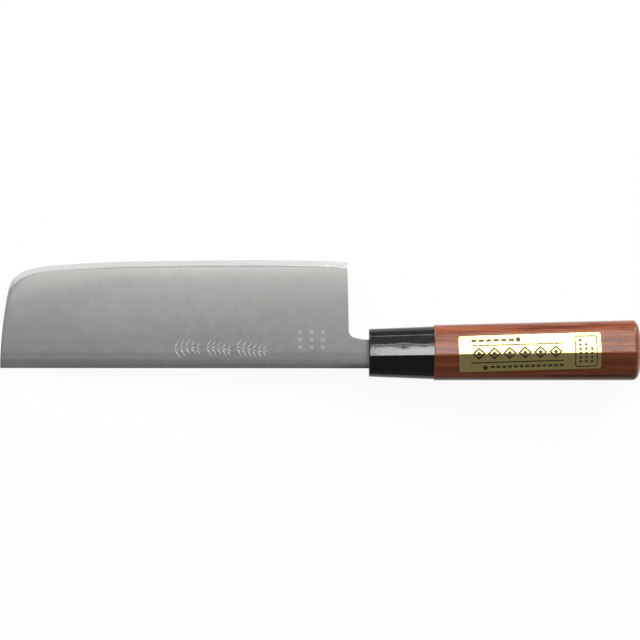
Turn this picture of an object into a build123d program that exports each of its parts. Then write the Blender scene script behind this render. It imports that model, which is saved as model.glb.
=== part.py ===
from build123d import *
import os
from math import cos, radians, sin, tan

# A nakiri, the Japanese vegetable knife, with a laminated blade and a wooden handle, in millimetres.
# It lies on its side. +X runs from the tip to the butt, +Y from the spine to the cutting edge, and +Z
# points out of the right-hand side of the blade. The origin is below the middle of the knife, level
# with the lowest part of the grip.

os.makedirs("parts", exist_ok=True)

# The whole knife
overall_length = 303.1
overrun = 4.0  # how far a cutter passes the faces that it cuts

# Blade, with heights measured from the spine
blade_length = 165.1  # from the tip to the foot of the heel
blade_height = 51.15  # at the highest point of the belly
heel_drop = 1.05  # how far the edge is below that point at the heel
heel_lean_angle = 1.3  # the heel leans back towards the tip by this
heel_corner_radius = 0.6
stock_thickness = 2.0
spine_easing_width = 4.2
spine_easing_depth = 0.28
grind_start = 7.6  # the faces taper from this height to the edge
shoulder_thickness = 0.7  # across the two bevels' shoulders
bevel_width = 2.6
edge_thickness = 0.06

# The cutting edge between heel and tip, then the two ends of the rounded corner at the tip, then the
# run of the bevel past that corner, all as shares of the blade's length and height
edge_shares = (
    (0.976, 0.9855),
    (0.9, 0.9958),
    (0.72, 1.0),
    (0.46, 0.9925),
    (0.288, 0.978),
    (0.1735, 0.9555),
    (0.121, 0.938),
    (0.0863, 0.9147),
)
tip_corner_shares = ((0.0433, 0.8441), (0.0248, 0.741))
bevel_fade_shares = ((0.028, 0.7995), (0.0025, 0.7235), (-0.024, 0.641))
heel_edge_angle = 6.0
tip_corner_angle = 41.5  # the edge's slope where the corner starts

# Core of hard steel, let into the edge
core_thickness = 0.6
core_depth = 34.0

# Neck and tang
neck_height = 13.6
neck_sweep_radius = 19.0
neck_sweep_angle = 20.0
choil_radius = 3.3
machi_gap = 0.8  # the ground faces end this far in front of the ferrule
tang_length = 78.0  # from the ferrule's front
tang_root_height = 11.0
tang_end_height = 5.5
tang_end_radius = 1.5

# Ferrule, with the heights of its centre measured from the spine. Its ridge and the grip's are this share
# of their height below the edge side.
heel_gap = 9.45  # from the heel to the ferrule
ferrule_length = 30.75
ferrule_front_height = 22.7
ferrule_front_thickness = 18.0
ferrule_front_centre = 7.35
ferrule_front_ridge_share = 0.568
ferrule_rear_height = 25.1
ferrule_rear_thickness = 19.5
ferrule_rear_centre = 7.38
ferrule_rear_ridge_share = 0.545
ferrule_wall = 1.8
ferrule_front_wall = 3.0
ferrule_rim_radius = 0.6
ferrule_rim_steps = 4
ferrule_ridge_easing = 0.35  # how much of the faces beside the ridge its rounding takes
slot_clearance = 0.1

# Grip, with the heights of its centre measured from the spine
grip_front_height = 26.2
grip_front_thickness = 20.5
grip_front_centre = 7.46
grip_front_ridge_share = 0.54
grip_butt_height = 28.5
grip_butt_thickness = 22.5
grip_butt_centre = 8.7
grip_butt_ridge_share = 0.535
grip_front_rim_radius = 0.45
grip_ridge_easing = 0.5
butt_round_run = 3.7  # how far along X the butt's rounding starts
butt_round_inset = 9.4  # how far the rounding draws the end in, all round
butt_round_shift = 2.0  # how far it moves the end towards the spine
butt_round_steps = 6
tenon_clearance = 0.1
tenon_end_gap = 0.8
bore_height = 13.4
bore_thickness = 5.0
bore_corner_radius = 2.25
bore_centre = 7.7
bore_end_gap = 2.5

# Section of the handle: an oval with one ridge. Shares of its height, its thickness or the curve's own run.
back_share = 0.48  # of the thickness, behind the middle of the blade
ridge_flat_width = 0.7  # the faces beside the ridge's rounding are flat for this far
upper_ridge_angle = 11.0
lower_ridge_angle = 27.0
side_pull_share = 0.62
ridge_pull_share = 0.80
lower_side_pull_share = 0.52
lower_ridge_pull_share = 0.75
back_pull_share = 0.57

# Label
label_length = 66.6
label_width = 17.0
label_thickness = 0.15
label_corner_radius = 1.1
label_tilt_angle = 1.78
label_front_gap = 44.8  # from the grip's front to the middle of the label
label_centre = 7.77  # above the spine

# Places that follow from the sizes above
tip_x = -overall_length / 2
heel_x = tip_x + blade_length
ferrule_front_x = heel_x + heel_gap
grip_front_x = ferrule_front_x + ferrule_length
butt_x = tip_x + overall_length
grip_drop = grip_front_height / 2 - grip_front_centre
spine_y = (grip_drop - blade_height) / 2
mid_z = grip_butt_thickness * back_share
blade_plane = Plane.XY.offset(mid_z)


def on_blade(run, rise):
    """A point of the blade's plane, from its run behind the tip and its rise above the spine."""
    return (tip_x + run, spine_y + rise)


def heading(angle):
    """The direction at this angle from +X."""
    return (cos(radians(angle)), sin(radians(angle)))


def chestnut(x, height, thickness, centre, ridge_share, easing):
    """The handle's section at one place along X, with its ridge eased by this much on each side."""
    top = spine_y + centre + height / 2
    bottom = top - height
    ridge = top - ridge_share * height
    back = mid_z - back_share * thickness
    front = back + thickness
    upper_fall = tan(radians(upper_ridge_angle))
    lower_fall = tan(radians(lower_ridge_angle))
    upper_reach = easing + ridge_pull_share * (top - ridge)
    lower_reach = easing + lower_ridge_pull_share * (ridge - bottom)
    upper_end = (ridge + easing, front - easing * upper_fall)
    lower_end = (ridge - easing, front - easing * lower_fall)
    flat_end = easing + ridge_flat_width
    upper_flat = (ridge + flat_end, front - flat_end * upper_fall)
    lower_flat = (ridge - flat_end, front - flat_end * lower_fall)
    upper_pull = (ridge + upper_reach, front - upper_reach * upper_fall)
    lower_pull = (ridge - lower_reach, front - lower_reach * lower_fall)
    side_z = mid_z + side_pull_share * (front - mid_z)
    lower_side_z = mid_z + lower_side_pull_share * (front - mid_z)
    back_z = mid_z - back_pull_share * (mid_z - back)
    middle = (top + bottom) / 2
    back_pull = back_pull_share * height / 2
    with BuildSketch(Plane.YZ.offset(x)) as section:
        with BuildLine():
            Bezier((top, mid_z), (top, side_z), upper_pull, upper_flat)
            Line(upper_flat, upper_end)
            Bezier(upper_end, (ridge, front), lower_end)
            Line(lower_end, lower_flat)
            Bezier(lower_flat, lower_pull, (bottom, lower_side_z), (bottom, mid_z))
            Bezier((bottom, mid_z), (bottom, back_z), (middle - back_pull, back), (middle, back))
            Bezier((middle, back), (middle + back_pull, back), (top, back_z), (top, mid_z))
        make_face()
    return section.sketch


def ferrule_section(x, inset):
    """The ferrule's section at one place along X, drawn in by the inset all round."""
    share = (x - ferrule_front_x) / ferrule_length
    height = ferrule_front_height + share * (ferrule_rear_height - ferrule_front_height)
    thickness = ferrule_front_thickness + share * (ferrule_rear_thickness - ferrule_front_thickness)
    centre = ferrule_front_centre + share * (ferrule_rear_centre - ferrule_front_centre)
    ridge_share = ferrule_front_ridge_share + share * (ferrule_rear_ridge_share - ferrule_front_ridge_share)
    return chestnut(x, height - 2 * inset, thickness - 2 * inset, centre, ridge_share, ferrule_ridge_easing)


def rim_section(step):
    """One section of the ferrule's front rim, which is a quarter of a circle seen from the side."""
    angle = radians(90 * step / ferrule_rim_steps)
    x = ferrule_front_x + ferrule_rim_radius * (1 - cos(angle))
    return ferrule_section(x, ferrule_rim_radius * (1 - sin(angle)))


def grip_sections(outset):
    """The sections at the grip's front and where its butt starts to round, enlarged by the outset."""
    front = chestnut(
        grip_front_x,
        grip_front_height + 2 * outset,
        grip_front_thickness + 2 * outset,
        grip_front_centre,
        grip_front_ridge_share,
        grip_ridge_easing,
    )
    butt = chestnut(
        butt_x - butt_round_run,
        grip_butt_height + 2 * outset,
        grip_butt_thickness + 2 * outset,
        grip_butt_centre,
        grip_butt_ridge_share,
        grip_ridge_easing,
    )
    return [front, butt]


def butt_section(step):
    """One section of the butt's rounding, which is a quarter of an ellipse seen from the side."""
    angle = 90 * step / butt_round_steps
    share = 1 - cos(radians(angle))
    inset = share * butt_round_inset
    return chestnut(
        butt_x - butt_round_run * (1 - sin(radians(angle))),
        grip_butt_height - 2 * inset,
        grip_butt_thickness - 2 * inset,
        grip_butt_centre - share * butt_round_shift,
        grip_butt_ridge_share,
        grip_ridge_easing,
    )


# Outline of the blade with its neck and tang
heel_turn = 90 - heel_lean_angle
sweep_rise = neck_sweep_radius * (1 - cos(radians(neck_sweep_angle)))
choil_rise = choil_radius * (cos(radians(neck_sweep_angle)) - cos(radians(heel_turn)))
sweep_run = neck_sweep_radius * sin(radians(neck_sweep_angle))
choil_run = choil_radius * (sin(radians(heel_turn)) - sin(radians(neck_sweep_angle)))
heel_foot_rise = neck_height + sweep_rise + choil_rise
heel_height = blade_height - heel_drop
heel_top_run = blade_length - (heel_height - heel_foot_rise) * tan(radians(heel_lean_angle))
heel_top = on_blade(heel_top_run, heel_height)
edge_points = [on_blade(length * blade_length, height * blade_height) for length, height in edge_shares]
tip_corner = [on_blade(length * blade_length, height * blade_height) for length, height in tip_corner_shares]
bevel_fade = [on_blade(length * blade_length, height * blade_height) for length, height in bevel_fade_shares]
neck_end_x = ferrule_front_x + ferrule_front_wall
tang_end_x = ferrule_front_x + tang_length
neck_centre_y = spine_y + neck_height / 2
tang_end_y = spine_y + bore_centre

with BuildSketch(blade_plane) as outline:
    with BuildLine():
        edge = Spline(
            heel_top,
            *edge_points,
            tip_corner[0],
            tangents=(heading(180 - heel_edge_angle), heading(180 + tip_corner_angle)),
        )
        corner = TangentArc(*tip_corner, tangent=edge % 1)
        front = TangentArc(corner @ 1, on_blade(0, 0), tangent=corner % 1)
        Polyline(
            front @ 1,
            (neck_end_x, spine_y),
            (neck_end_x, neck_centre_y - tang_root_height / 2),
            (tang_end_x, tang_end_y - tang_end_height / 2),
            (tang_end_x, tang_end_y + tang_end_height / 2),
            (neck_end_x, neck_centre_y + tang_root_height / 2),
            (neck_end_x, spine_y + neck_height),
            (heel_x + sweep_run + choil_run, spine_y + neck_height),
        )
        sweep_arc = JernArc(
            start=(heel_x + sweep_run + choil_run, spine_y + neck_height),
            tangent=(-1, 0),
            radius=neck_sweep_radius,
            arc_size=-neck_sweep_angle,
        )
        choil_arc = JernArc(
            start=sweep_arc @ 1,
            tangent=sweep_arc % 1,
            radius=choil_radius,
            arc_size=neck_sweep_angle - heel_turn,
        )
        Line(choil_arc @ 1, heel_top)
    make_face()
    fillet(outline.vertices().sort_by(Axis.X)[-2:], radius=tang_end_radius)
    fillet(outline.vertices().sort_by_distance(Vector(*heel_top, mid_z))[0], radius=heel_corner_radius)

# Steel of the whole blade: the outline at the stock's thickness, with its faces ground down to the bevels
half_stock = stock_thickness / 2
half_shoulder = shoulder_thickness / 2
half_edge = edge_thickness / 2
grind_slope = (half_stock - half_shoulder) / (blade_height - bevel_width - grind_start)
grind_end_x = ferrule_front_x - machi_gap
bevel_slope = (half_shoulder - half_edge) / bevel_width
cutter_rise = blade_height - grind_start + overrun
bevel_reach = bevel_width + overrun / 2

with BuildPart() as grinders:
    with BuildSketch(Plane.YZ.offset(tip_x - overrun)):
        with BuildLine():
            Polyline(
                (spine_y + grind_start, mid_z + half_stock),
                (spine_y + grind_start + cutter_rise, mid_z + half_stock - grind_slope * cutter_rise),
                (spine_y + grind_start + cutter_rise, mid_z + half_stock + overrun),
                (spine_y + grind_start, mid_z + half_stock + overrun),
                close=True,
            )
        make_face()
    extrude(amount=grind_end_x - tip_x + overrun)
    with BuildSketch(Plane.YZ.offset(tip_x - overrun)):
        with BuildLine():
            eased = ThreePointArc(
                (spine_y, mid_z + half_stock - spine_easing_depth),
                (spine_y + spine_easing_width / 2, mid_z + half_stock - spine_easing_depth / 4),
                (spine_y + spine_easing_width, mid_z + half_stock),
            )
            Polyline(
                eased @ 1,
                (spine_y + spine_easing_width, mid_z + half_stock + overrun),
                (spine_y - overrun, mid_z + half_stock + overrun),
                (spine_y - overrun, mid_z + half_stock - spine_easing_depth),
                eased @ 0,
            )
        make_face()
    extrude(amount=neck_end_x - tip_x + overrun)
    with BuildLine(Plane.XY.offset(mid_z + half_edge)) as bevel_path:
        Spline(
            on_blade(blade_length + overrun, heel_height - overrun * tan(radians(heel_edge_angle))),
            heel_top,
            *edge_points,
            tip_corner[0],
            *bevel_fade,
        )
    with BuildSketch(Plane(origin=bevel_path.line @ 0, x_dir=(0, -1, 0), z_dir=bevel_path.line % 0)):
        with BuildLine():
            Polyline(
                (-overrun, -bevel_slope * overrun),
                (bevel_reach, bevel_slope * bevel_reach),
                (bevel_reach, half_stock + overrun),
                (-overrun, half_stock + overrun),
                close=True,
            )
        make_face()
    sweep(path=bevel_path.line, binormal=(0, 0, 1))
    mirror(about=blade_plane)

with BuildPart() as blade:
    extrude(to_extrude=outline.sketch, amount=half_stock, both=True)
    add(grinders.part, mode=Mode.SUBTRACT)

# Core of hard steel
core_back = spine_y + blade_height - core_depth
with BuildPart() as core_steel:
    add(blade.part)
    with BuildSketch(Plane.XY.offset(mid_z - core_thickness / 2)):
        with BuildLine():
            Polyline(
                (tip_x - overrun, core_back),
                (heel_x + overrun, core_back),
                (heel_x + overrun, core_back + core_depth + overrun),
                (tip_x - overrun, core_back + core_depth + overrun),
                close=True,
            )
        make_face()
    extrude(amount=core_thickness, mode=Mode.INTERSECT)
core_steel.part.label = "core_steel"
export_step(core_steel.part, "parts/core_steel.step")

# Cladding, neck and tang, split to take the core
with BuildPart() as blade_cladding:
    add(blade.part)
    add(core_steel.part, mode=Mode.SUBTRACT)
blade_cladding.part.label = "blade_cladding"
export_step(blade_cladding.part, "parts/blade_cladding.step")

# Ferrule: a closed front with the neck's slot, and a hollow behind it for the tenon
cavity_x = ferrule_front_x + ferrule_front_wall
slot_height = neck_height + 2 * slot_clearance
with BuildPart() as ferrule:
    loft(sections=[rim_section(ferrule_rim_steps), ferrule_section(grip_front_x, 0)])
    loft(sections=[rim_section(step) for step in range(ferrule_rim_steps + 1)])
    loft(
        sections=[ferrule_section(cavity_x, ferrule_wall), ferrule_section(grip_front_x, ferrule_wall)],
        mode=Mode.SUBTRACT,
    )
    with BuildSketch(Plane.YZ.offset(ferrule_front_x - overrun)):
        with Locations((neck_centre_y, mid_z)):
            Rectangle(slot_height, stock_thickness + 2 * slot_clearance)
    extrude(amount=ferrule_front_wall + 2 * overrun, mode=Mode.SUBTRACT)
ferrule.part.label = "ferrule"
export_step(ferrule.part, "parts/ferrule.step")

# Grip of wood: the outer body first, which the label follows too
tenon_x = cavity_x + tenon_end_gap
tenon_inset = ferrule_wall + tenon_clearance
bore_end_x = tang_end_x + bore_end_gap
bore_y = spine_y + bore_centre
with BuildPart() as grip_body:
    loft(sections=grip_sections(0))

with BuildPart() as handle_grip:
    add(grip_body.part)
    fillet(handle_grip.faces().sort_by(Axis.X)[0].edges(), radius=grip_front_rim_radius)
    loft(sections=[butt_section(step) for step in range(butt_round_steps + 1)])
    loft(sections=[ferrule_section(tenon_x, tenon_inset), ferrule_section(grip_front_x, tenon_inset)])
    with BuildSketch(Plane.YZ.offset(tenon_x)):
        with Locations((bore_y, mid_z)):
            RectangleRounded(bore_height, bore_thickness, bore_corner_radius)
    extrude(amount=bore_end_x - tenon_x, mode=Mode.SUBTRACT)
handle_grip.part.label = "handle_grip"
export_step(handle_grip.part, "parts/handle_grip.step")

# Resin that fills the bore round the tang
with BuildPart() as tang_bedding:
    with BuildSketch(Plane.YZ.offset(tenon_x)):
        with Locations((bore_y, mid_z)):
            RectangleRounded(bore_height, bore_thickness, bore_corner_radius)
    extrude(amount=bore_end_x - tenon_x)
    add(blade.part, mode=Mode.SUBTRACT)
tang_bedding.part.label = "tang_bedding"
export_step(tang_bedding.part, "parts/tang_bedding.step")

# Label, a thin film over the ridge
label_x = grip_front_x + label_front_gap
with BuildPart() as handle_label:
    loft(sections=grip_sections(label_thickness))
    with BuildSketch(blade_plane):
        with Locations((label_x, spine_y + label_centre)):
            RectangleRounded(label_length, label_width, label_corner_radius, rotation=label_tilt_angle)
    extrude(amount=grip_butt_thickness, mode=Mode.INTERSECT)
    add(grip_body.part, mode=Mode.SUBTRACT)
handle_label.part.label = "handle_label"
export_step(handle_label.part, "parts/handle_label.step")
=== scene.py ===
from math import atan, cos, pi, radians, sin, tan

import bpy
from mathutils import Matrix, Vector


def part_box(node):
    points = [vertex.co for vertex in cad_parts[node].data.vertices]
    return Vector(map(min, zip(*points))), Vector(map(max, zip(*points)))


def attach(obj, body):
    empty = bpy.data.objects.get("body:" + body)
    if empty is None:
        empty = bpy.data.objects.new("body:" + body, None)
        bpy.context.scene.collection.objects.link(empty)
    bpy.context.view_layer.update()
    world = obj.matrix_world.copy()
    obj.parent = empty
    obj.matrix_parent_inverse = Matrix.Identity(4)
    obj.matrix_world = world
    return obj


# The nakiri's looks: finishes, print, light, floor and camera, in metres, in the part's own frame.

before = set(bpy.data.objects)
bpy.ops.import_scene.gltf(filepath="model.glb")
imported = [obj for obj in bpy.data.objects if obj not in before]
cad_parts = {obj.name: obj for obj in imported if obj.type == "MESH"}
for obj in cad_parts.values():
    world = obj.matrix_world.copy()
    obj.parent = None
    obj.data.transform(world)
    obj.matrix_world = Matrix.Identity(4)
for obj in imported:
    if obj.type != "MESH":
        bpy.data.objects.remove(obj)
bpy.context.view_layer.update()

# The photograph's frame, and how far above the blade it was taken from
frame_width = 0.3033
view_distance = 1.05
view_centre = (-0.0001, 0.000125)
sensor_width = 36.0
camera_roll = radians(0.05)

# Places that the CAD nodes give
blade_low, blade_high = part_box("blade_cladding")
core_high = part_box("core_steel")[1]
ferrule_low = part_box("ferrule")[0]
label_low, label_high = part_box("handle_label")
mid_z = (blade_low[2] + blade_high[2]) / 2
spine_y = blade_low[1]
stock_thickness = blade_high[2] - blade_low[2]
edge_y = core_high[1]
tip_x = blade_low[0]
heel_x = core_high[0]

# The ground faces of the blade, as the source makes them
grind_start = 0.0076
grind_angle = radians(0.91)
edge_shares = (
    (0.0, 0.0),
    (0.0248, 0.741),
    (0.0433, 0.8441),
    (0.0863, 0.9147),
    (0.121, 0.938),
    (0.1735, 0.9555),
    (0.288, 0.978),
    (0.46, 0.9925),
    (0.72, 1.0),
    (0.9, 0.9958),
    (0.976, 0.9855),
    (1.0, 0.9795),
)

# The finishes: darkest and lightest tone, roughness, and how strong the grain is
satin_tones = ((0.52, 0.507, 0.49), (0.60, 0.588, 0.57))
satin_roughness = 0.30
satin_grain = 1.0
edge_tones = ((0.58, 0.575, 0.57), (0.65, 0.645, 0.64))
edge_roughness = 0.07
edge_grain = 0.2
cut_tones = ((0.86, 0.85, 0.84), (0.95, 0.94, 0.93))
cut_roughness = 0.42
plastic_tones = ((0.009, 0.009, 0.0096), (0.013, 0.0129, 0.0134))
plastic_roughness = 0.07
wood_tones = ((0.117, 0.028, 0.0122), (0.256, 0.0675, 0.0275), (0.355, 0.111, 0.051))
pore_tone = (0.07, 0.018, 0.010)
wood_roughness = 0.15
foil_tones = ((0.82, 0.655, 0.25), (0.83, 0.665, 0.26))
foil_roughness = 0.26
ink_tone = (0.012, 0.011, 0.010)
resin_tones = ((0.16, 0.085, 0.028), (0.34, 0.20, 0.075))
resin_roughness = 0.3

# The sink marks in the collar: x, y and how far each reaches along and across
sink_marks = ((0.0485, -0.0095, 0.0026, 0.0030), (0.0395, -0.0120, 0.0034, 0.0016))

# How the finish turns the blade's satin face, as a bump. The belly is a height over a distance squared, the
# roll a height over a distance, the rest are metres. Near the edge the bevel is left clear of it.
belly_at_tip = 0.845
belly_at_heel = 0.455
roll_strength = 0.034
roll_heel_share = 0.35
roll_reach_at_tip = 0.016
roll_reach = 0.009
roll_run = 0.06
bevel_line = (0.0025, 0.0028)
bevel_keenness = 0.22
bevel_clear = 0.003
spine_flattening = 0.00009
spine_reach = 0.0042
neck_easing = 0.00017
neck_reach = 0.0026
neck_start = 0.012
neck_end = 0.006

# The chisel strokes on the blade, in metres: each sprig's start, its number of leaves and its run, then the
# leaves, the block of crosses, and how high a stroke's rim and crest stand and how deep its root goes
sprigs = ((-0.0690, 5, 0.0105), (-0.0538, 5, 0.0100), (-0.0395, 6, 0.0125))
sprig_y = -0.0138
sprig_sway = 0.0009
leaf_angle = 58
leaf_length = 0.0052
leaf_shortening = 0.0021
leaf_width = 0.00064
leaf_gap = 0.0003
vein_length = 0.0019
vein_width = 0.00040
cross_start = (-0.0095, -0.0058)
cross_pitch = (0.0054, -0.0035)
cross_rows = 3
cross_arm = 0.0016
cross_width = 0.00046
cut_rim = 0.000012
cut_crest = 0.00006
cut_root = 0.00006

# The label, as the source places it
label_tilt = radians(1.78)
label_x = (label_low[0] + label_high[0]) / 2
label_y = spine_y + 0.00777

# The label's print, in millimetres from its middle. Bars: u, v, length, width. Dots: u, v, radius. Rows:
# first u, pitch, number, v, then a piece's length and width. The frame: u, v, length, width, corner, line.
dark_bar = (-5.9, -4.2, 43.4, 0.6)
dark_dots = ((-5.4, 6.2, 1.15), (-21.0, -6.6, 1.1))
dark_lozenges = (-24.0, 7.2, 6, 0.1, 3.2, 3.0)
dark_dashes = (-17.6, 2.7, 13, -6.4, 1.9, 1.1)
grey_bar = (-5.9, 3.9, 43.4, 0.6)
grey_dashes = (-26.2, 3.5, 6, 6.15, 2.5, 1.2)
grey_frame = (26.3, -0.2, 10.6, 14.8, 1.2, 0.55)
grid_corner = (23.6, 5.0)
grid_pitch = (2.7, -2.0)
grid_size = (3, 6)
grid_radius = 0.68
ring_inside = 0.62
lozenge_middle = 0.38
dark_weight = 0.95
grey_weight = 0.92

# The floor's glow where it is seen, the light that it throws back at the knife, and its paint
floor_glow_share = 0.93
floor_bounce = 0.15
floor_color = 0.97

# Lamps beyond the edge: target x, y, tilt from overhead and depth in degrees, width, radiance, distance
edge_lamps = (
    ("strip", 0.235, -0.014, 22.7, 6.6, 0.59, 10.6, 2.4),
    ("strip_line", 0.235, -0.014, 28.2, 0.9, 0.59, 9.0, 2.4),
    ("strip_fringe", 0.235, -0.014, 24.0, 10.0, 0.59, 0.3, 2.4),
    ("strip_far", 0.235, -0.014, 53.0, 1.8, 0.59, 7.5, 2.4),
    ("label_box", 0.2, -0.014, 39.0, 21.0, 0.15, 9.5, 1.2),
    ("blade_box", -0.325, 0.0, 18.0, 12.0, 0.85, 0.78, 1.2),
    ("blade_box_left", -0.45, 0.0, 18.0, 12.0, 0.6, 0.85, 1.2),
)

# Dim cards beyond the spine, and the key lamps with how far aside of the edge each stands
spine_cards = (
    ("low_card", 0.0, 0.0, 56.0, 28.0, 1.5, 0.10, 1.2),
    ("horizon_card", 0.0, 0.0, 78.0, 22.0, 3.0, 0.16, 1.2),
)
spine_aside = 180.0
key_lamp = (0.0, 0.0, 68.0, 24.0, 0.7, 11.6, 1.6)
key_asides = (("left", -40.0), ("right", 40.0))

# The surround: axis, where its brightness starts and stops changing, and its brightness there
surround = (("Y", -0.5, 0.5, 0.025, 0.45), ("Z", 0.0, 0.75, 0.4, 1.0))


class Graph:
    """Builds the nodes of one material. Each step is a call that gives back its output."""

    def __init__(self, name):
        self.material = bpy.data.materials.new(name)
        self.material.use_nodes = True
        self.tree = self.material.node_tree
        self.shader = self.tree.nodes["Principled BSDF"]
        self.place = self.node("ShaderNodeTexCoord").outputs["Object"]
        axes = self.node("ShaderNodeSeparateXYZ", {"Vector": self.place})
        self.x, self.y, self.z = axes.outputs

    def node(self, kind, inputs=None, **settings):
        node = self.tree.nodes.new(kind)
        for key, value in settings.items():
            setattr(node, key, value)
        for key, value in (inputs or {}).items():
            self.feed(node.inputs[key], value)
        return node

    def feed(self, socket, value):
        if isinstance(value, bpy.types.NodeSocket):
            self.tree.links.new(value, socket)
        else:
            socket.default_value = value

    def math(self, operation, *values):
        node = self.node("ShaderNodeMath", dict(enumerate(values)), operation=operation)
        return node.outputs[0]

    def add(self, first, *others):
        for other in others:
            first = self.math("ADD", first, other)
        return first

    def times(self, first, *others):
        for other in others:
            first = self.math("MULTIPLY", first, other)
        return first

    def spread(self, value, low, high, to_low=0.0, to_high=1.0, smooth=False):
        inputs = {"Value": value, "From Min": low, "From Max": high, "To Min": to_low, "To Max": to_high}
        kind = "SMOOTHSTEP" if smooth else "LINEAR"
        return self.node("ShaderNodeMapRange", inputs, interpolation_type=kind).outputs["Result"]

    def noise(self, scale, stretch=(1, 1, 1), detail=3.0, roughness=0.5, turn=0.0, offset=(0, 0, 0)):
        inputs = {"Vector": self.place, "Scale": stretch, "Rotation": (0, 0, turn), "Location": offset}
        placed = self.node("ShaderNodeMapping", inputs).outputs["Vector"]
        inputs = {"Vector": placed, "Scale": scale, "Detail": detail, "Roughness": roughness}
        return self.node("ShaderNodeTexNoise", inputs).outputs["Fac"]

    def mix(self, share, *tones):
        """Goes from the first tone to the second. A tone is three numbers or another step's output."""
        first, second = (tone if isinstance(tone, bpy.types.NodeSocket) else (*tone, 1) for tone in tones)
        node = self.node("ShaderNodeMix", {0: share, 6: first, 7: second}, data_type="RGBA")
        return node.outputs[2]

    def hump(self, x, y, reach_x, reach_y):
        """One where x, y lies and fading to nothing around it."""
        across = self.math("POWER", self.math("DIVIDE", self.add(self.x, -x), reach_x), 2.0)
        along = self.math("POWER", self.math("DIVIDE", self.add(self.y, -y), reach_y), 2.0)
        return self.math("EXPONENT", self.times(self.add(across, along), -1.0))

    def curve(self, value, points):
        """Reads a smooth line through these points, each between nothing and one."""
        node = self.node("ShaderNodeFloatCurve", {"Value": value})
        line = node.mapping.curves[0].points
        for point in points[1:-1]:
            line.new(*point)
        line[0].location = points[0]
        line[len(points) - 1].location = points[-1]
        node.mapping.update()
        return node.outputs[0]

    def near(self, distance, reach):
        """The square of how near this is: one at nothing, and nothing from the reach on."""
        return self.math("POWER", self.spread(distance, 0.0, reach, 1.0, 0.0), 2.0)

    def finish(self, height=None, **sockets):
        for key, value in sockets.items():
            self.feed(self.shader.inputs[key.replace("_", " ")], value)
        if height is not None:
            bump = self.node("ShaderNodeBump", {"Strength": 1.0, "Distance": 1.0, "Height": height})
            self.feed(self.shader.inputs["Normal"], bump.outputs["Normal"])
        return self.material


def steel(name, dark, light, roughness, grain, satin_face=False):
    """Steel with hairlines along the blade, as strong as its grain. A satin face has a belly, rolls over to
    the bevel, which is keener, and is eased towards the spine at the neck."""
    graph = Graph(name)
    mottle = graph.spread(graph.noise(170, detail=6.0, roughness=0.62), 0.3, 0.7)
    cloud = graph.spread(graph.noise(26, (1, 1.8, 1), detail=2.0), 0.3, 0.7)
    hairline = graph.noise(1, (70, 5200, 5200), detail=3.0, roughness=0.7)
    shade = graph.add(graph.times(mottle, 0.5), graph.times(cloud, 0.25), graph.times(hairline, 0.25))
    height = graph.add(graph.times(hairline, 0.0000009 * grain), graph.times(cloud, 0.000012 * grain))
    keen = 0.0
    if satin_face:
        share = graph.spread(graph.x, tip_x, heel_x)
        edge = graph.spread(graph.curve(share, edge_shares), 0.0, 1.0, spine_y, edge_y)
        depth = graph.add(edge, graph.times(graph.y, -1.0))
        keen = graph.spread(depth, *bevel_line, -bevel_keenness, 0.0, smooth=True)
        ground = graph.math("MAXIMUM", depth, bevel_clear)
        rise = graph.add(edge, graph.times(ground, -1.0), -spine_y - grind_start)
        belly = graph.spread(graph.x, tip_x, heel_x, -belly_at_tip, -belly_at_heel)
        reach = graph.spread(graph.x, tip_x, tip_x + roll_run, roll_reach_at_tip, roll_reach)
        fullness = graph.spread(graph.x, tip_x, heel_x, -roll_strength, -roll_strength * roll_heel_share)
        rolled = graph.times(graph.near(ground, reach), reach, fullness)
        spine = graph.add(graph.y, -spine_y)
        neck = graph.spread(graph.x, heel_x - neck_start, heel_x + neck_end, smooth=True)
        eased = graph.times(graph.near(spine, neck_reach), neck, -neck_easing)
        flattened = graph.times(graph.near(spine, spine_reach), spine_flattening)
        height = graph.add(height, graph.times(rise, rise, belly), rolled, eased, flattened)
    return graph.finish(
        height,
        Base_Color=graph.mix(shade, dark, light),
        Metallic=1.0,
        Roughness=graph.add(graph.times(shade, 0.07 * grain), roughness, keen),
    )


def black_plastic():
    """Glossy black plastic with the slow waves and sink marks of a moulding."""
    graph = Graph("black_plastic")
    wave = graph.noise(130, (1.0, 1.3, 1.0), detail=2.0, roughness=0.4)
    ripple = graph.noise(420, (0.5, 1.2, 1.0), detail=2.0)
    sink = graph.add(*(graph.hump(*mark) for mark in sink_marks))
    smudge = graph.spread(graph.noise(300, detail=5.0, roughness=0.7), 0.45, 0.75)
    height = graph.add(
        graph.times(wave, 0.00003),
        graph.times(ripple, 0.0000035),
        graph.times(sink, -0.000032),
    )
    return graph.finish(
        height,
        Base_Color=graph.mix(smudge, *plastic_tones),
        Roughness=graph.add(graph.times(smudge, 0.06), plastic_roughness),
        IOR=1.53,
    )


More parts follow.
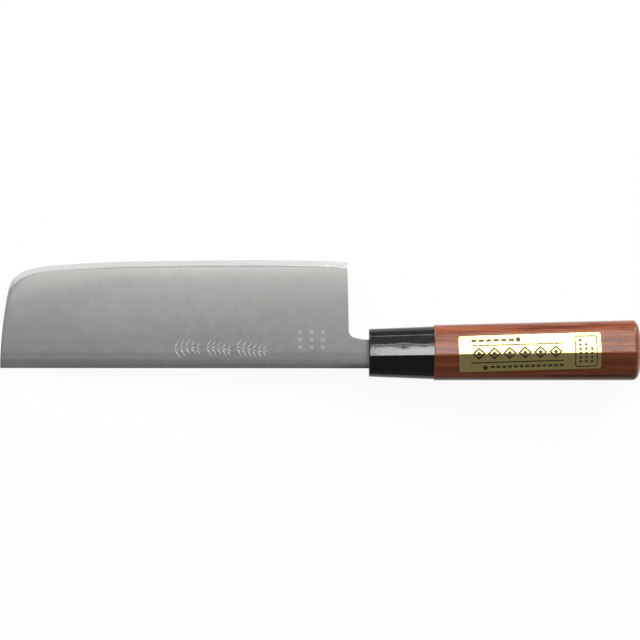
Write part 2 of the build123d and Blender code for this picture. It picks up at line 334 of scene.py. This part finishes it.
def red_wood():
    """Reddish brown close-grained wood under a thin satin lacquer."""
    graph = Graph("red_wood")
    turn = radians(1.6)
    band = graph.noise(1, (9, 300, 260), detail=3.0, roughness=0.55, turn=turn)
    streak = graph.noise(1, (20, 1050, 950), detail=4.0, roughness=0.65, turn=turn, offset=(0.3, 0.1, 0.7))
    fibre = graph.noise(1, (60, 3200, 3000), detail=3.0, roughness=0.7, turn=turn, offset=(0.5, 0.9, 0.2))
    pore = graph.noise(1, (75, 2400, 2200), detail=2.0, roughness=0.5, turn=turn, offset=(2.5, 3.9, 1.2))
    pores = graph.spread(pore, 0.60, 0.70)
    tone = graph.add(graph.times(band, 0.28), graph.times(streak, 0.44), graph.times(fibre, 0.28))
    ramp = graph.node("ShaderNodeValToRGB", {"Fac": graph.spread(tone, 0.43, 0.575)})
    ramp.color_ramp.elements.new(0.5)
    for element, tone in zip(ramp.color_ramp.elements, wood_tones):
        element.color = (*tone, 1)
    color = graph.mix(graph.times(pores, 0.6), ramp.outputs["Color"], pore_tone)
    height = graph.add(
        graph.times(streak, 0.000010),
        graph.times(fibre, 0.000005),
        graph.times(pores, -0.000008),
    )
    return graph.finish(
        height,
        Base_Color=color,
        Roughness=graph.add(graph.times(streak, 0.12), graph.times(pores, 0.15), wood_roughness),
        Specular_IOR_Level=0.35,
    )


class Print:
    """Draws a mask of plain shapes on the label, in millimetres along and across it from its middle."""

    def __init__(self, graph):
        self.graph = graph
        right = graph.add(graph.x, -label_x)
        up = graph.add(graph.y, -label_y)
        along = graph.add(graph.times(right, cos(label_tilt)), graph.times(up, sin(label_tilt)))
        across = graph.add(graph.times(up, cos(label_tilt)), graph.times(right, -sin(label_tilt)))
        self.u = graph.times(along, 1000.0)
        self.v = graph.times(across, 1000.0)

    def from_middle(self, value, middle):
        return self.graph.math("ABSOLUTE", self.graph.add(value, -middle))

    def below(self, value, limit):
        return self.graph.math("LESS_THAN", value, limit)

    def repeated(self, value, first, pitch):
        """The distance from the nearest of a row's middles."""
        moved = self.graph.add(value, -first)
        return self.graph.math("PINGPONG", moved, pitch / 2)

    def bar(self, u, v, length, width):
        long_way = self.below(self.from_middle(self.u, u), length / 2)
        return self.graph.times(long_way, self.below(self.from_middle(self.v, v), width / 2))

    def dot(self, u, v, radius):
        across = self.graph.math("POWER", self.from_middle(self.u, u), 2.0)
        up = self.graph.math("POWER", self.from_middle(self.v, v), 2.0)
        return self.below(self.graph.add(across, up), radius * radius)

    def dashes(self, first, pitch, count, v, length, width):
        """A row of dashes."""
        field = self.bar(first + pitch * (count - 1) / 2, v, pitch * count, width)
        return self.graph.times(field, self.below(self.repeated(self.u, first, pitch), length / 2))

    def lozenges(self, first, pitch, count, v, half_length, half_width):
        """A row of lozenges, each a ring round a smaller one."""
        across = self.graph.math("DIVIDE", self.repeated(self.u, first, pitch), half_length)
        up = self.graph.math("DIVIDE", self.from_middle(self.v, v), half_width)
        reach = self.graph.add(across, up)
        ring = self.graph.times(self.below(reach, 1.0), self.graph.math("GREATER_THAN", reach, ring_inside))
        field = self.bar(first + pitch * (count - 1) / 2, v, pitch * count, half_width * 2)
        return self.graph.times(field, self.graph.add(ring, self.below(reach, lozenge_middle)))

    def frame(self, u, v, length, width, radius, line):
        """The outline of a rounded rectangle."""
        beyond_u = self.graph.add(self.from_middle(self.u, u), radius - length / 2)
        beyond_v = self.graph.add(self.from_middle(self.v, v), radius - width / 2)
        over_u = self.graph.math("MAXIMUM", beyond_u, 0.0)
        over_v = self.graph.math("MAXIMUM", beyond_v, 0.0)
        reach = self.graph.math(
            "SQRT",
            self.graph.add(self.graph.math("POWER", over_u, 2.0), self.graph.math("POWER", over_v, 2.0)),
        )
        return self.below(self.from_middle(reach, radius - line / 2), line / 2)


def label_foil():
    """Pale gold foil with a plain print of rules, dots and lozenges."""
    graph = Graph("label_foil")
    ink = Print(graph)
    darker = [ink.bar(*dark_bar), ink.lozenges(*dark_lozenges), ink.dashes(*dark_dashes)]
    darker += [ink.dot(*dot) for dot in dark_dots]
    greyer = [ink.bar(*grey_bar), ink.dashes(*grey_dashes), ink.frame(*grey_frame)]
    for column in range(grid_size[0]):
        for row in range(column, grid_size[1]):
            u, v = grid_corner[0] + grid_pitch[0] * column, grid_corner[1] + grid_pitch[1] * row
            greyer.append(ink.dot(u, v, grid_radius))
    dark = graph.math("MINIMUM", graph.add(*darker), 1.0)
    grey = graph.math("MINIMUM", graph.add(*greyer), 1.0)
    inked = graph.math("MAXIMUM", graph.times(dark, dark_weight), graph.times(grey, grey_weight))
    crinkle = graph.noise(240, detail=2.0)
    wear = graph.noise(500, detail=2.0)
    foil = graph.mix(wear, *foil_tones)
    return graph.finish(
        graph.times(crinkle, 0.000003),
        Base_Color=graph.mix(inked, foil, ink_tone),
        Metallic=graph.spread(inked, 0.0, 1.0, 0.82, 0.1),
        Roughness=graph.add(graph.times(wear, 0.02), graph.times(inked, 0.12), foil_roughness),
    )


def resin():
    """Amber resin, a little cloudy."""
    graph = Graph("resin")
    cloud = graph.noise(500, detail=4.0)
    return graph.finish(
        graph.times(cloud, 0.00002),
        Base_Color=graph.mix(cloud, *resin_tones),
        Roughness=graph.add(graph.times(cloud, 0.2), resin_roughness),
    )


def dress(node, material):
    """Gives a CAD node its material."""
    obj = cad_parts[node]
    if not obj.data.materials:
        obj.data.materials.append(material)
    for slot in obj.material_slots:
        slot.material = material


def make_motif():
    """Light chisel cuts on the right face: three sprigs and a small block of crosses."""
    strokes = []

    def cut(x, y, angle, length, width):
        strokes.append((Vector((x, y)), Vector((cos(angle), sin(angle))), length, width))

    for number, (start_x, count, run) in enumerate(sprigs):
        lean = radians(4 - 3 * number)
        for step in range(count):
            along = step / (count - 1)
            x, y = start_x + run * along, sprig_y + sprig_sway * sin(3 * along + number)
            length = leaf_length - leaf_shortening * along
            cut(x, y + leaf_gap, radians(leaf_angle) + lean, length, leaf_width)
            cut(x, y - leaf_gap, radians(-leaf_angle) + lean, length, leaf_width)
            cut(x, y, lean, vein_length, vein_width)
    for row in range(cross_rows):
        for column in range(cross_rows):
            x, y = cross_start[0] + cross_pitch[0] * column, cross_start[1] + cross_pitch[1] * row
            for turn in (45, 135, 225, 315):
                cut(x, y, radians(turn), cross_arm, cross_width)

    face_z = mid_z + stock_thickness / 2
    grind_y = spine_y + grind_start

    def lifted(point, lift):
        """This point of the blade's face, raised by the lift."""
        return point.x, point.y, face_z - max(point.y - grind_y, 0.0) * tan(grind_angle) + lift

    verts, faces = [], []
    for start, heading, length, width in strokes:
        side = Vector((-heading.y, heading.x)) * width / 2
        shoulder = start + heading * length * 0.3
        outline = [start, shoulder + side, start + heading * length, shoulder - side]
        base = len(verts)
        verts += [lifted(point, cut_rim) for point in outline]
        verts += [lifted(point, -cut_root) for point in outline]
        verts.append(lifted(start + heading * length * 0.35, cut_crest))
        for index in range(4):
            after = (index + 1) % 4
            faces.append((base + index, base + after, base + 8))
            faces.append((base + index, base + 4 + index, base + 4 + after, base + after))
        faces.append((base + 4, base + 7, base + 6, base + 5))
    mesh = bpy.data.meshes.new("blade_motif")
    mesh.from_pydata(verts, [], faces)
    mesh.validate()
    mesh.update()
    motif = bpy.data.objects.new("blade_motif", mesh)
    bpy.context.collection.objects.link(motif)
    graph = Graph("cut_steel")
    burr = graph.noise(2500, detail=2.0)
    mesh.materials.append(
        graph.finish(
            graph.times(burr, 0.000006),
            Base_Color=graph.mix(burr, *cut_tones),
            Metallic=1.0,
            Roughness=graph.add(graph.times(burr, 0.1), cut_roughness),
        )
    )
    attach(motif, "root")
    return motif


def make_camera():
    """Looks straight down on the blade, which nearly fills the frame's width."""
    data = bpy.data.cameras.new("camera")
    data.sensor_width = sensor_width
    data.lens = sensor_width * view_distance / frame_width
    camera = bpy.data.objects.new("camera", data)
    camera.location = (*view_centre, mid_z + view_distance)
    camera.rotation_euler = (0, 0, camera_roll)
    bpy.context.collection.objects.link(camera)
    bpy.context.scene.camera = camera


def make_floor():
    """A pale floor that the tip and the ferrule's front rest on, with the knife's soft shadow."""
    tip = Vector((tip_x, 0, blade_low[2]))
    chin = Vector((ferrule_low[0], 0, ferrule_low[2]))
    slope = atan((chin.z - tip.z) / (chin.x - tip.x))
    bpy.ops.mesh.primitive_plane_add(size=16)
    floor = bpy.context.object
    floor.name = "floor"
    floor.rotation_euler = (0, -slope, 0)
    floor.location = (chin.x, 0, chin.z)
    material = bpy.data.materials.new("floor")
    material.use_nodes = True
    tree = material.node_tree
    tree.nodes.clear()
    light_path = tree.nodes.new("ShaderNodeLightPath")
    seen = light_path.outputs["Is Camera Ray"]
    for ray in ("Is Glossy Ray", "Is Transmission Ray"):
        either = tree.nodes.new("ShaderNodeMath")
        either.operation = "MAXIMUM"
        tree.links.new(seen, either.inputs[0])
        tree.links.new(light_path.outputs[ray], either.inputs[1])
        seen = either.outputs[0]
    share = tree.nodes.new("ShaderNodeMath")
    share.operation = "MULTIPLY"
    share.inputs[1].default_value = floor_glow_share
    tree.links.new(seen, share.inputs[0])
    matte = tree.nodes.new("ShaderNodeBsdfDiffuse")
    pale = tree.nodes.new("ShaderNodeMapRange")
    pale.inputs["To Min"].default_value = floor_bounce
    pale.inputs["To Max"].default_value = floor_color
    tree.links.new(seen, pale.inputs["Value"])
    tree.links.new(pale.outputs[0], matte.inputs["Color"])
    white = tree.nodes.new("ShaderNodeEmission")
    white.inputs["Strength"].default_value = 1.0
    both = tree.nodes.new("ShaderNodeMixShader")
    tree.links.new(share.outputs[0], both.inputs[0])
    tree.links.new(matte.outputs[0], both.inputs[1])
    tree.links.new(white.outputs[0], both.inputs[2])
    out = tree.nodes.new("ShaderNodeOutputMaterial")
    tree.links.new(both.outputs[0], out.inputs["Surface"])
    floor.data.materials.append(material)


def area_light(name, x, y, tilt, depth, width, radiance, distance, aside=0.0):
    """A soft rectangle seen from x, y at this tilt from overhead, this many degrees deep."""
    tilt, depth, aside = radians(tilt), radians(depth), radians(aside)
    direction = Vector((sin(aside) * sin(tilt), cos(aside) * sin(tilt), cos(tilt)))
    data = bpy.data.lights.new(name, "AREA")
    data.shape = "RECTANGLE"
    data.size = width
    data.size_y = 2 * distance * tan(depth / 2)
    data.energy = radiance * pi * data.size * data.size_y
    light = bpy.data.objects.new(name, data)
    light.location = Vector((x, y, mid_z)) + direction * distance
    light.rotation_euler = (-direction).to_track_quat("-Z", "Y").to_euler()
    bpy.context.collection.objects.link(light)
    return light


def flag_off(lights, pieces):
    """Keeps these lights off the pieces, as a flag beside each lamp would."""
    flagged = bpy.data.collections.new("flagged")
    for piece in pieces:
        flagged.objects.link(piece)
    for entry in flagged.collection_objects:
        entry.light_linking.link_state = "EXCLUDE"
    for light in lights:
        light.light_linking.receiver_collection = flagged


def make_lights(blade_pieces):
    """Strips and boxes beyond the edge, dim cards beyond the spine, and two keys for the handle."""
    for lamp in edge_lamps:
        area_light(*lamp)
    for lamp in spine_cards:
        area_light(*lamp, aside=spine_aside)
    keys = [area_light(name, *key_lamp, aside=aside) for name, aside in key_asides]
    flag_off(keys, blade_pieces)


def make_surround():
    """A soft grey world, brighter beyond the edge and overhead than beyond the spine and low down."""
    world = bpy.data.worlds.new("world")
    bpy.context.scene.world = world
    world.use_nodes = True
    tree = world.node_tree
    way = tree.nodes.new("ShaderNodeTexCoord")
    axes = tree.nodes.new("ShaderNodeSeparateXYZ")
    tree.links.new(way.outputs["Generated"], axes.inputs[0])
    both = tree.nodes.new("ShaderNodeMath")
    both.operation = "MULTIPLY"
    for index, (axis, low, high, at_low, at_high) in enumerate(surround):
        spread = tree.nodes.new("ShaderNodeMapRange")
        spread.interpolation_type = "SMOOTHSTEP"
        for key, value in (("From Min", low), ("From Max", high), ("To Min", at_low), ("To Max", at_high)):
            spread.inputs[key].default_value = value
        tree.links.new(axes.outputs[axis], spread.inputs["Value"])
        tree.links.new(spread.outputs[0], both.inputs[index])
    tree.links.new(both.outputs[0], tree.nodes["Background"].inputs["Strength"])
    tree.nodes["Background"].inputs["Color"].default_value = (1, 1, 1, 1)


make_camera()
make_floor()
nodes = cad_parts
make_lights((nodes["blade_cladding"], nodes["core_steel"], make_motif()))
make_surround()
satin = steel("cladding_steel", *satin_tones, satin_roughness, satin_grain, satin_face=True)
dress("blade_cladding", satin)
dress("core_steel", steel("edge_steel", *edge_tones, edge_roughness, edge_grain))
dress("ferrule", black_plastic())
dress("handle_grip", red_wood())
dress("handle_label", label_foil())
dress("tang_bedding", resin())

bpy.context.scene.view_settings.view_transform = "Standard"
